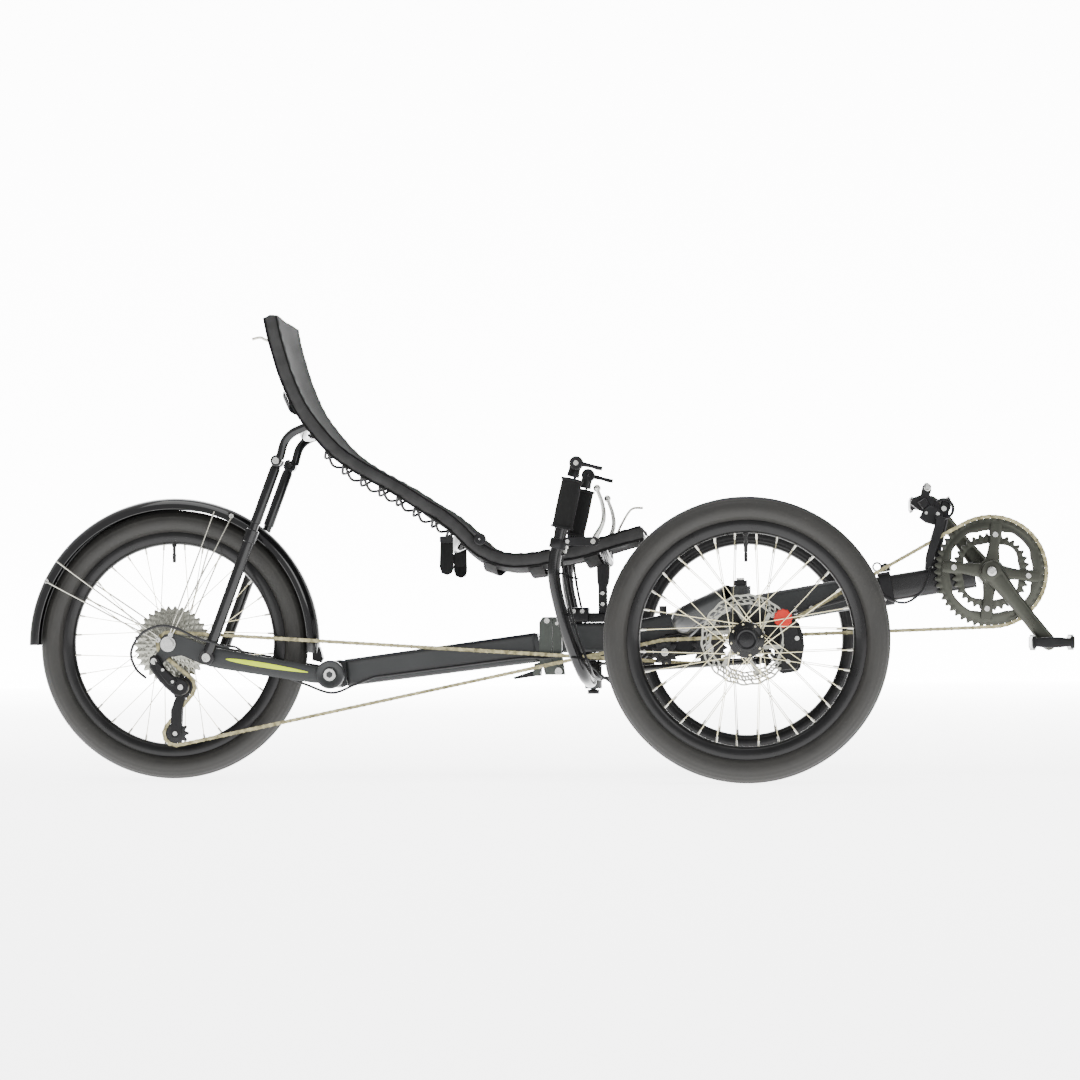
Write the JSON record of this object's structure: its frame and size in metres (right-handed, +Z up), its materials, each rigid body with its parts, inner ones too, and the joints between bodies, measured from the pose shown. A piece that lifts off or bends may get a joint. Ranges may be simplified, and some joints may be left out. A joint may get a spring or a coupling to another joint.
{
  "type": "adult tricycle",
  "caption": "Recumbent tadpole tricycle with slung seat, under-seat steering, folding beam, sprung-look rear struts and sliding pedal boom.",
  "frame": {"origin": "middle of the bounding box at ground level", "axes": "+X forward, +Y to the rider's left, +Z up"},
  "size_m": [1.9256, 0.815, 0.8476],
  "materials": {
    "charcoal_paint": "satin",
    "black_paint": "gloss",
    "hinge_grey": "machined, anodised",
    "black_anodised": "anodised",
    "crank_grey": "grey anodised, semi gloss",
    "steel": "bright",
    "chain_steel": "oiled",
    "tyre_rubber": "satin, fine tread",
    "fender_black": "high gloss",
    "sling_fabric": "woven mesh over foam",
    "foam": "matt foam",
    "black_plastic": "moulded"
  },
  "bodies": {
    "frame": {"main_beam": "charcoal_paint", "outrigger_right": "charcoal_paint", "outrigger_left": "charcoal_paint", "hinge_block_front": "hinge_grey", "boom_clamp": "black_anodised", "seat_frame": "black_paint", "seat_braces": "black_paint", "seat_sling": "sling_fabric", "seat_post": "black_anodised", "idler_bracket": "black_anodised", "steering_pivot": "black_anodised", "chain_front": "chain_steel"},
    "rear_frame": {"rear_beam": "charcoal_paint", "hinge_block_rear": "hinge_grey", "chain_rear": "chain_steel"},
    "latch": {"latch_lever": "black_anodised"},
    "rear_arm": {"swingarm": "charcoal_paint", "rear_axle": "steel", "fender": "fender_black", "rear_cable": "black_plastic", "rear_derailleur": "black_anodised"},
    "strut_lower": {"strut_tubes": "black_paint"},
    "strut_upper": {"strut_rods": "black_paint"},
    "cage": {"derailleur_cage": "black_anodised"},
    "upper_jockey": {"jockey_upper": "black_plastic"},
    "lower_jockey": {"jockey_lower": "black_plastic"},
    "rear_wheel": {"rear_tyre": "tyre_rubber", "rear_rim": "black_anodised", "rear_hub": "black_anodised"},
    "cassette": {"cassette": "steel"},
    "boom": {"boom": "black_paint", "derailleur_post": "black_anodised", "front_derailleur": "black_anodised"},
    "crankset": {"chainrings": "crank_grey", "crank_arms": "crank_grey"},
    "pedal_right": {"pedal_right": "black_anodised"},
    "pedal_left": {"pedal_left": "black_anodised"},
    "handlebar": {"handlebar": "black_paint", "grips": "foam", "lever_mounts": "black_anodised"},
    "shift_right": {"shift_lever_right": "black_anodised"},
    "shift_left": {"shift_lever_left": "black_anodised"},
    "brake_right": {"brake_lever_right": "steel"},
    "brake_left": {"brake_lever_left": "steel"},
    "tie_rod_right": {"tie_rod_right": "black_anodised"},
    "tie_rod_left": {"tie_rod_left": "black_anodised"},
    "knuckle_right": {"knuckle_right": "black_anodised", "caliper_right": "black_anodised"},
    "knuckle_left": {"knuckle_left": "black_anodised", "caliper_left": "black_anodised"},
    "front_wheel_right": {"front_right_tyre": "tyre_rubber", "front_right_rim": "black_anodised", "front_right_hub": "black_anodised", "front_right_rotor": "steel"},
    "front_wheel_left": {"front_left_tyre": "tyre_rubber", "front_left_rim": "black_anodised", "front_left_hub": "black_anodised", "front_left_rotor": "steel"},
    "power_idler": {"power_idler": "black_plastic"},
    "return_idler": {"return_idler": "black_plastic"}
  },
  "joints": [
    {"name": "frame_fold", "type": "hinge", "parent": "frame", "child": "rear_frame", "pos_m": [0.0276, 0, 0.195], "axis": [0, -1, 0], "range_deg": [0, 100], "deforming": ["chain_rear"]},
    {"name": "latch_open", "type": "hinge", "parent": "rear_frame", "child": "latch", "pos_m": [-0.0134, 0, 0.192], "axis": [0, -1, 0], "range_deg": [0, 45]},
    {"name": "rear_arm_pivot", "type": "hinge", "parent": "rear_frame", "child": "rear_arm", "pos_m": [-0.3904, 0, 0.192], "axis": [0, -1, 0], "range_deg": [0, 8]},
    {"name": "strut_lower_pivot", "type": "hinge", "parent": "rear_arm", "child": "strut_lower", "pos_m": [-0.6174, 0, 0.225], "axis": [0, -1, 0], "range_deg": [-6.8, 0]},
    {"name": "strut_slide", "type": "slide", "parent": "strut_lower", "child": "strut_upper", "axis": [0.3488, 0, 0.9372], "range_m": [0, 0.0312]},
    {"name": "derailleur_cage_swing", "type": "hinge", "parent": "rear_arm", "child": "cage", "pos_m": [-0.6654, -0.06, 0.171], "axis": [0, -1, 0], "range_deg": [0, 20], "stiffness_Nm_per_rad": 0.4, "springref_deg": -28.65},
    {"name": "upper_jockey_spin", "type": "hinge", "parent": "cage", "child": "upper_jockey", "pos_m": [-0.6654, -0.06, 0.171], "axis": [0, 1, 0], "continuous": true},
    {"name": "lower_jockey_spin", "type": "hinge", "parent": "cage", "child": "lower_jockey", "pos_m": [-0.6794, -0.06, 0.0855], "axis": [0, 1, 0], "continuous": true},
    {"name": "rear_wheel_spin", "type": "hinge", "parent": "rear_arm", "child": "rear_wheel", "pos_m": [-0.6904, 0, 0.25], "axis": [0, 1, 0], "continuous": true},
    {"name": "cassette_spin", "type": "hinge", "parent": "rear_arm", "child": "cassette", "pos_m": [-0.6904, 0, 0.25], "axis": [0, 1, 0], "continuous": true},
    {"name": "boom_slide", "type": "slide", "parent": "frame", "child": "boom", "axis": [0.9881, 0, 0.1538], "range_m": [-0.03, 0.05], "deforming": ["chain_front"]},
    {"name": "crank_spin", "type": "hinge", "parent": "boom", "child": "crankset", "pos_m": [0.8216, 0, 0.371], "axis": [0, 1, 0], "continuous": true},
    {"name": "pedal_right_spin", "type": "hinge", "parent": "crankset", "child": "pedal_right", "pos_m": [0.92318, -0.128, 0.24098], "axis": [0, 1, 0], "continuous": true},
    {"name": "pedal_left_spin", "type": "hinge", "parent": "crankset", "child": "pedal_left", "pos_m": [0.72002, 0.128, 0.50102], "axis": [0, 1, 0], "continuous": true},
    {"name": "handlebar_turn", "type": "hinge", "parent": "frame", "child": "handlebar", "pos_m": [0.0906, 0, 0.2], "axis": [0, 0, 1], "range_deg": [-25, 25]},
    {"name": "tie_rod_right_pivot", "type": "hinge", "parent": "handlebar", "child": "tie_rod_right", "pos_m": [0.1356, -0.014, 0.196], "axis": [0, 0, 1], "range_deg": [-26, 26]},
    {"name": "knuckle_right_turn", "type": "hinge", "parent": "frame", "child": "knuckle_right", "pos_m": [0.3646, -0.29, 0.32], "axis": [0, 0, 1], "range_deg": [-26, 26]},
    {"name": "front_right_spin", "type": "hinge", "parent": "knuckle_right", "child": "front_wheel_right", "pos_m": [0.3746, -0.37, 0.25], "axis": [0, 1, 0], "continuous": true},
    {"name": "shift_right_turn", "type": "hinge", "parent": "handlebar", "child": "shift_right", "pos_m": [0.0736, -0.25, 0.568], "axis": [0, 1, 0], "range_deg": [-30, 45]},
    {"name": "brake_right_pull", "type": "hinge", "parent": "handlebar", "child": "brake_right", "pos_m": [0.1026, -0.235, 0.428], "axis": [0, -1, 0], "range_deg": [0, 13], "stiffness_Nm_per_rad": 2, "springref_deg": -17.19},
    {"name": "tie_rod_left_pivot", "type": "hinge", "parent": "handlebar", "child": "tie_rod_left", "pos_m": [0.1356, 0.014, 0.196], "axis": [0, 0, 1], "range_deg": [-26, 26]},
    {"name": "knuckle_left_turn", "type": "hinge", "parent": "frame", "child": "knuckle_left", "pos_m": [0.3646, 0.29, 0.32], "axis": [0, 0, 1], "range_deg": [-26, 26]},
    {"name": "front_left_spin", "type": "hinge", "parent": "knuckle_left", "child": "front_wheel_left", "pos_m": [0.3746, 0.37, 0.25], "axis": [0, 1, 0], "continuous": true},
    {"name": "shift_left_turn", "type": "hinge", "parent": "handlebar", "child": "shift_left", "pos_m": [0.0736, 0.25, 0.568], "axis": [0, 1, 0], "range_deg": [-30, 45]},
    {"name": "brake_left_pull", "type": "hinge", "parent": "handlebar", "child": "brake_left", "pos_m": [0.1026, 0.235, 0.428], "axis": [0, -1, 0], "range_deg": [0, 13], "stiffness_Nm_per_rad": 2, "springref_deg": -17.19},
    {"name": "power_idler_spin", "type": "hinge", "parent": "frame", "child": "power_idler", "pos_m": [0.3066, -0.046, 0.236], "axis": [0, 1, 0], "continuous": true},
    {"name": "return_idler_spin", "type": "hinge", "parent": "frame", "child": "return_idler", "pos_m": [0.2246, -0.06, 0.2285], "axis": [0, 1, 0], "continuous": true}
  ],
  "couplings": [
    {"joint": "strut_lower_pivot", "follows": "rear_arm_pivot", "ratio": -0.845},
    {"joint": "strut_slide", "follows": "rear_arm_pivot", "m_per_rad": 0.2213},
    {"joint": "cassette_spin", "follows": "crank_spin", "ratio": 4.5454},
    {"joint": "power_idler_spin", "follows": "crank_spin", "ratio": -3.3333},
    {"joint": "return_idler_spin", "follows": "crank_spin", "ratio": -4.5454},
    {"joint": "upper_jockey_spin", "follows": "crank_spin", "ratio": -4.5454},
    {"joint": "lower_jockey_spin", "follows": "crank_spin", "ratio": 4.5454},
    {"joint": "tie_rod_right_pivot", "follows": "handlebar_turn", "ratio": -1},
    {"joint": "knuckle_right_turn", "follows": "handlebar_turn", "ratio": 1},
    {"joint": "tie_rod_left_pivot", "follows": "handlebar_turn", "ratio": -1},
    {"joint": "knuckle_left_turn", "follows": "handlebar_turn", "ratio": 1}
  ]
}
